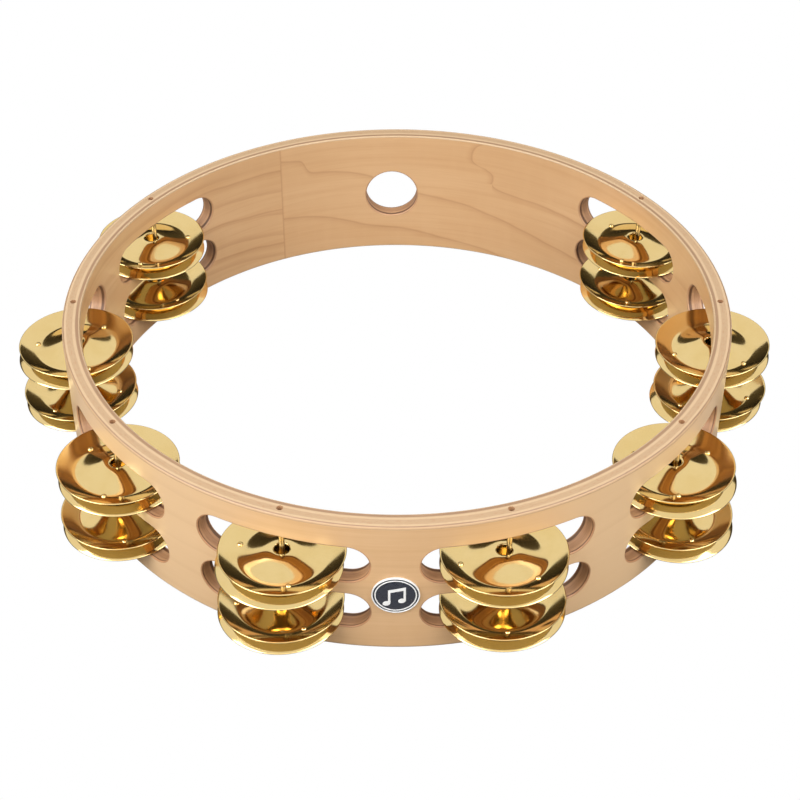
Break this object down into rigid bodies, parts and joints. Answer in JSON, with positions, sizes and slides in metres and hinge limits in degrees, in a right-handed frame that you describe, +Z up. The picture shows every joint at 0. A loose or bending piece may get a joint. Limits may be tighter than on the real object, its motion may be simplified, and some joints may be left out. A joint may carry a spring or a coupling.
{
  "type": "tambourine",
  "caption": "Headless wooden tambourine: a round plywood hoop with two rows of brass jingle pairs on pins, a thumb hole and a round badge.",
  "frame": {"origin": "centre of the whole object's footprint, at the hoop's lower edge", "axes": "+Z up along the hoop's axis, -Y towards the badge, +X to the right when facing the badge"},
  "size_m": [0.2922, 0.2668, 0.0573],
  "materials": {
    "maple": "clear lacquered pale maple plywood, satin",
    "brass": "polished lacquered sheet brass",
    "pin_brass": "drawn brass-plated wire, smooth",
    "badge_enamel": "gloss black enamel with pale rings"
  },
  "bodies": {
    "hoop": {"hoop": "maple", "badge": "badge_enamel", "pin_1": "pin_brass", "pin_2": "pin_brass", "pin_3": "pin_brass", "pin_4": "pin_brass", "pin_5": "pin_brass", "pin_6": "pin_brass", "pin_7": "pin_brass", "pin_8": "pin_brass"},
    "jingle_1_lower_row_lower": {"jingle_1_lower_row_lower": "brass"},
    "jingle_1_lower_row_upper": {"jingle_1_lower_row_upper": "brass"},
    "jingle_1_upper_row_lower": {"jingle_1_upper_row_lower": "brass"},
    "jingle_1_upper_row_upper": {"jingle_1_upper_row_upper": "brass"},
    "jingle_2_lower_row_lower": {"jingle_2_lower_row_lower": "brass"},
    "jingle_2_lower_row_upper": {"jingle_2_lower_row_upper": "brass"},
    "jingle_2_upper_row_lower": {"jingle_2_upper_row_lower": "brass"},
    "jingle_2_upper_row_upper": {"jingle_2_upper_row_upper": "brass"},
    "jingle_3_lower_row_lower": {"jingle_3_lower_row_lower": "brass"},
    "jingle_3_lower_row_upper": {"jingle_3_lower_row_upper": "brass"},
    "jingle_3_upper_row_lower": {"jingle_3_upper_row_lower": "brass"},
    "jingle_3_upper_row_upper": {"jingle_3_upper_row_upper": "brass"},
    "jingle_4_lower_row_lower": {"jingle_4_lower_row_lower": "brass"},
    "jingle_4_lower_row_upper": {"jingle_4_lower_row_upper": "brass"},
    "jingle_4_upper_row_lower": {"jingle_4_upper_row_lower": "brass"},
    "jingle_4_upper_row_upper": {"jingle_4_upper_row_upper": "brass"},
    "jingle_5_lower_row_lower": {"jingle_5_lower_row_lower": "brass"},
    "jingle_5_lower_row_upper": {"jingle_5_lower_row_upper": "brass"},
    "jingle_5_upper_row_lower": {"jingle_5_upper_row_lower": "brass"},
    "jingle_5_upper_row_upper": {"jingle_5_upper_row_upper": "brass"},
    "jingle_6_lower_row_lower": {"jingle_6_lower_row_lower": "brass"},
    "jingle_6_lower_row_upper": {"jingle_6_lower_row_upper": "brass"},
    "jingle_6_upper_row_lower": {"jingle_6_upper_row_lower": "brass"},
    "jingle_6_upper_row_upper": {"jingle_6_upper_row_upper": "brass"},
    "jingle_7_lower_row_lower": {"jingle_7_lower_row_lower": "brass"},
    "jingle_7_lower_row_upper": {"jingle_7_lower_row_upper": "brass"},
    "jingle_7_upper_row_lower": {"jingle_7_upper_row_lower": "brass"},
    "jingle_7_upper_row_upper": {"jingle_7_upper_row_upper": "brass"},
    "jingle_8_lower_row_lower": {"jingle_8_lower_row_lower": "brass"},
    "jingle_8_lower_row_upper": {"jingle_8_lower_row_upper": "brass"},
    "jingle_8_upper_row_lower": {"jingle_8_upper_row_lower": "brass"},
    "jingle_8_upper_row_upper": {"jingle_8_upper_row_upper": "brass"}
  },
  "joints": [
    {"name": "jingle_1_lower_row_lower_slide", "type": "slide", "parent": "hoop", "child": "jingle_1_lower_row_lower", "axis": [0, 0, 1], "range_m": [0, 0.0036]},
    {"name": "jingle_1_lower_row_upper_slide", "type": "slide", "parent": "jingle_1_lower_row_lower", "child": "jingle_1_lower_row_upper", "axis": [0, 0, 1], "range_m": [0, 0.0036]},
    {"name": "jingle_1_upper_row_lower_slide", "type": "slide", "parent": "hoop", "child": "jingle_1_upper_row_lower", "axis": [0, 0, 1], "range_m": [0, 0.0036]},
    {"name": "jingle_1_upper_row_upper_slide", "type": "slide", "parent": "jingle_1_upper_row_lower", "child": "jingle_1_upper_row_upper", "axis": [0, 0, 1], "range_m": [0, 0.0036]},
    {"name": "jingle_2_lower_row_lower_slide", "type": "slide", "parent": "hoop", "child": "jingle_2_lower_row_lower", "axis": [0, 0, 1], "range_m": [0, 0.0036]},
    {"name": "jingle_2_lower_row_upper_slide", "type": "slide", "parent": "jingle_2_lower_row_lower", "child": "jingle_2_lower_row_upper", "axis": [0, 0, 1], "range_m": [0, 0.0036]},
    {"name": "jingle_2_upper_row_lower_slide", "type": "slide", "parent": "hoop", "child": "jingle_2_upper_row_lower", "axis": [0, 0, 1], "range_m": [0, 0.0036]},
    {"name": "jingle_2_upper_row_upper_slide", "type": "slide", "parent": "jingle_2_upper_row_lower", "child": "jingle_2_upper_row_upper", "axis": [0, 0, 1], "range_m": [0, 0.0036]},
    {"name": "jingle_3_lower_row_lower_slide", "type": "slide", "parent": "hoop", "child": "jingle_3_lower_row_lower", "axis": [0, 0, 1], "range_m": [0, 0.0036]},
    {"name": "jingle_3_lower_row_upper_slide", "type": "slide", "parent": "jingle_3_lower_row_lower", "child": "jingle_3_lower_row_upper", "axis": [0, 0, 1], "range_m": [0, 0.0036]},
    {"name": "jingle_3_upper_row_lower_slide", "type": "slide", "parent": "hoop", "child": "jingle_3_upper_row_lower", "axis": [0, 0, 1], "range_m": [0, 0.0036]},
    {"name": "jingle_3_upper_row_upper_slide", "type": "slide", "parent": "jingle_3_upper_row_lower", "child": "jingle_3_upper_row_upper", "axis": [0, 0, 1], "range_m": [0, 0.0036]},
    {"name": "jingle_4_lower_row_lower_slide", "type": "slide", "parent": "hoop", "child": "jingle_4_lower_row_lower", "axis": [0, 0, 1], "range_m": [0, 0.0036]},
    {"name": "jingle_4_lower_row_upper_slide", "type": "slide", "parent": "jingle_4_lower_row_lower", "child": "jingle_4_lower_row_upper", "axis": [0, 0, 1], "range_m": [0, 0.0036]},
    {"name": "jingle_4_upper_row_lower_slide", "type": "slide", "parent": "hoop", "child": "jingle_4_upper_row_lower", "axis": [0, 0, 1], "range_m": [0, 0.0036]},
    {"name": "jingle_4_upper_row_upper_slide", "type": "slide", "parent": "jingle_4_upper_row_lower", "child": "jingle_4_upper_row_upper", "axis": [0, 0, 1], "range_m": [0, 0.0036]},
    {"name": "jingle_5_lower_row_lower_slide", "type": "slide", "parent": "hoop", "child": "jingle_5_lower_row_lower", "axis": [0, 0, 1], "range_m": [0, 0.0036]},
    {"name": "jingle_5_lower_row_upper_slide", "type": "slide", "parent": "jingle_5_lower_row_lower", "child": "jingle_5_lower_row_upper", "axis": [0, 0, 1], "range_m": [0, 0.0036]},
    {"name": "jingle_5_upper_row_lower_slide", "type": "slide", "parent": "hoop", "child": "jingle_5_upper_row_lower", "axis": [0, 0, 1], "range_m": [0, 0.0036]},
    {"name": "jingle_5_upper_row_upper_slide", "type": "slide", "parent": "jingle_5_upper_row_lower", "child": "jingle_5_upper_row_upper", "axis": [0, 0, 1], "range_m": [0, 0.0036]},
    {"name": "jingle_6_lower_row_lower_slide", "type": "slide", "parent": "hoop", "child": "jingle_6_lower_row_lower", "axis": [0, 0, 1], "range_m": [0, 0.0036]},
    {"name": "jingle_6_lower_row_upper_slide", "type": "slide", "parent": "jingle_6_lower_row_lower", "child": "jingle_6_lower_row_upper", "axis": [0, 0, 1], "range_m": [0, 0.0036]},
    {"name": "jingle_6_upper_row_lower_slide", "type": "slide", "parent": "hoop", "child": "jingle_6_upper_row_lower", "axis": [0, 0, 1], "range_m": [0, 0.0036]},
    {"name": "jingle_6_upper_row_upper_slide", "type": "slide", "parent": "jingle_6_upper_row_lower", "child": "jingle_6_upper_row_upper", "axis": [0, 0, 1], "range_m": [0, 0.0036]},
    {"name": "jingle_7_lower_row_lower_slide", "type": "slide", "parent": "hoop", "child": "jingle_7_lower_row_lower", "axis": [0, 0, 1], "range_m": [0, 0.0036]},
    {"name": "jingle_7_lower_row_upper_slide", "type": "slide", "parent": "jingle_7_lower_row_lower", "child": "jingle_7_lower_row_upper", "axis": [0, 0, 1], "range_m": [0, 0.0036]},
    {"name": "jingle_7_upper_row_lower_slide", "type": "slide", "parent": "hoop", "child": "jingle_7_upper_row_lower", "axis": [0, 0, 1], "range_m": [0, 0.0036]},
    {"name": "jingle_7_upper_row_upper_slide", "type": "slide", "parent": "jingle_7_upper_row_lower", "child": "jingle_7_upper_row_upper", "axis": [0, 0, 1], "range_m": [0, 0.0036]},
    {"name": "jingle_8_lower_row_lower_slide", "type": "slide", "parent": "hoop", "child": "jingle_8_lower_row_lower", "axis": [0, 0, 1], "range_m": [0, 0.0036]},
    {"name": "jingle_8_lower_row_upper_slide", "type": "slide", "parent": "jingle_8_lower_row_lower", "child": "jingle_8_lower_row_upper", "axis": [0, 0, 1], "range_m": [0, 0.0036]},
    {"name": "jingle_8_upper_row_lower_slide", "type": "slide", "parent": "hoop", "child": "jingle_8_upper_row_lower", "axis": [0, 0, 1], "range_m": [0, 0.0036]},
    {"name": "jingle_8_upper_row_upper_slide", "type": "slide", "parent": "jingle_8_upper_row_lower", "child": "jingle_8_upper_row_upper", "axis": [0, 0, 1], "range_m": [0, 0.0036]}
  ]
}
